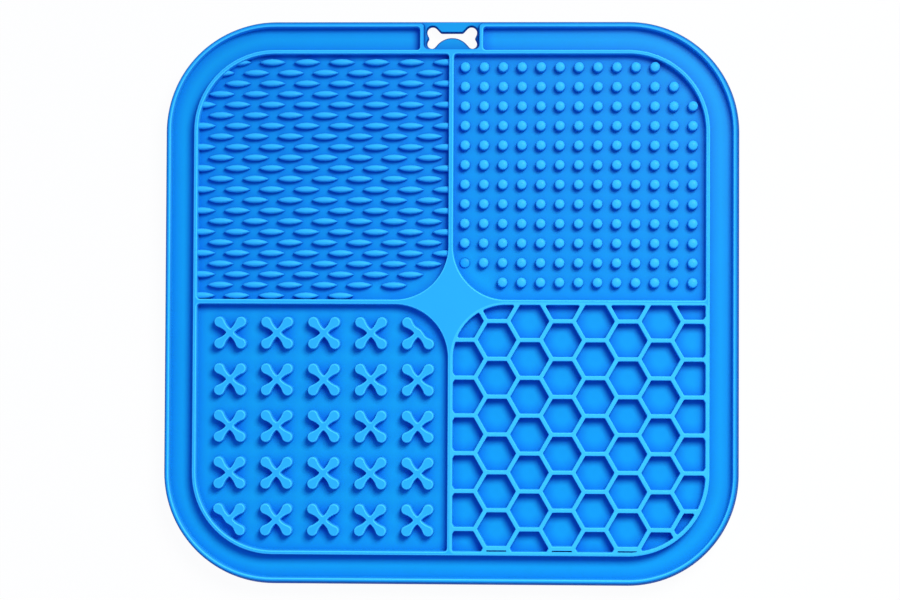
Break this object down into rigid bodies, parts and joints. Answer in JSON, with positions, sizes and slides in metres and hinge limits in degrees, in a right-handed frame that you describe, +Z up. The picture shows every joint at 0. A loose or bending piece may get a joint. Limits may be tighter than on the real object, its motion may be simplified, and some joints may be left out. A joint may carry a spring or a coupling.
{
  "type": "lick mat",
  "caption": "Rounded-square silicone lick mat with a raised lip, a gutter and wells of ridges, nubs, crosses and honeycomb, a bone-shaped hanging hole and suction cups below.",
  "frame": {"origin": "under the middle of the mat, on the surface that its suction cups stand on", "axes": "+Z up out of the textured face, +Y towards the hanging tab, +X to the right with the tab at the top"},
  "size_m": [0.2, 0.196, 0.01],
  "materials": {
    "silicone": "satin"
  },
  "bodies": {
    "root": {"base_sheet": "silicone", "hang_tab": "silicone", "outer_lip": "silicone", "tab_rib_left": "silicone", "tab_rib_right": "silicone", "inner_rib": "silicone", "divider_rib_top": "silicone", "divider_rib_bottom": "silicone", "divider_rib_left": "silicone", "divider_rib_right": "silicone", "centre_star": "silicone", "almond_ridges": "silicone", "round_nubs": "silicone", "cross_studs": "silicone", "comb_level_walls": "silicone", "comb_rising_walls": "silicone", "comb_falling_walls": "silicone", "suction_cup_1_1": "silicone", "suction_cup_1_2": "silicone", "suction_cup_1_3": "silicone", "suction_cup_2_1": "silicone", "suction_cup_2_2": "silicone", "suction_cup_2_3": "silicone", "suction_cup_3_1": "silicone", "suction_cup_3_2": "silicone", "suction_cup_3_3": "silicone"}
  },
  "joints": []
}
